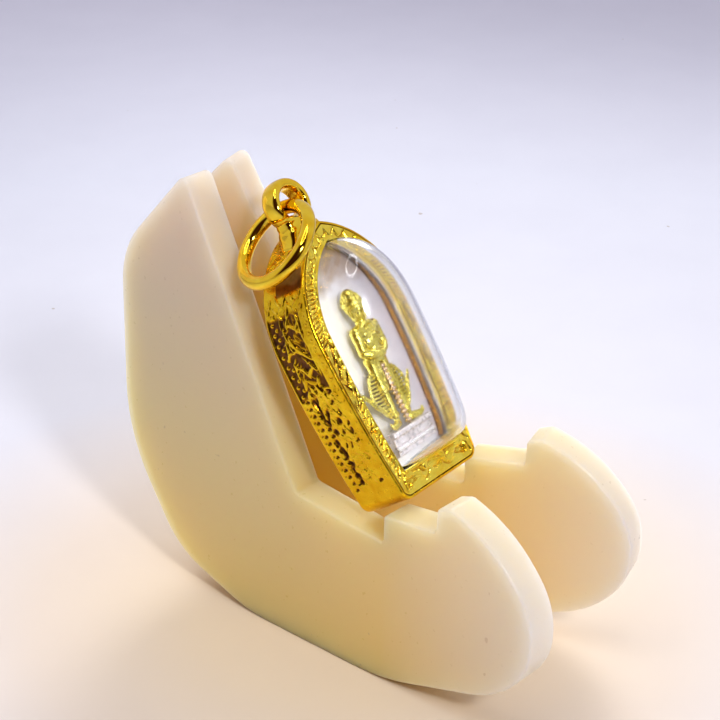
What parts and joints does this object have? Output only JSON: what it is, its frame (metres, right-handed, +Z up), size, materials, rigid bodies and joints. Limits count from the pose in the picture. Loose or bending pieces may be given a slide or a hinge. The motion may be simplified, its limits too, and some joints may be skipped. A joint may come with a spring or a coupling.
{
  "type": "amulet pendant on folding display stand",
  "caption": "Pointed-arch amulet pendant with a clear domed window, a guardian figure inside, a bail and a jump ring, leaning on a small folding display stand.",
  "frame": {"origin": "middle of the footprint on the table, under the stand", "axes": "+Z up, -Y towards the front (the pendant's window and the noses of the stand's wings), +X to the right seen from the front"},
  "size_m": [0.0282, 0.0648, 0.0555],
  "materials": {
    "case_gold": "polished gold plate, engraved",
    "clear_acrylic": "clear, polished",
    "backing_silver": "bright silver, finely grained",
    "plinth_silver": "bright silver",
    "figure_gold": "cast, softly polished",
    "staff_rose": "polished",
    "ring_gold": "polished gold plate",
    "stand_ivory": "translucent ivory, softly glossy"
  },
  "bodies": {
    "root": {"case": "case_gold", "window_dome": "clear_acrylic", "backing_plate": "backing_silver", "plinth": "plinth_silver", "guardian_figure": "figure_gold", "bead_staff": "staff_rose", "jump_ring": "ring_gold", "stand_wing_left": "stand_ivory", "stand_wing_right": "stand_ivory", "stand_hinge_pin": "stand_ivory"}
  },
  "joints": []
}
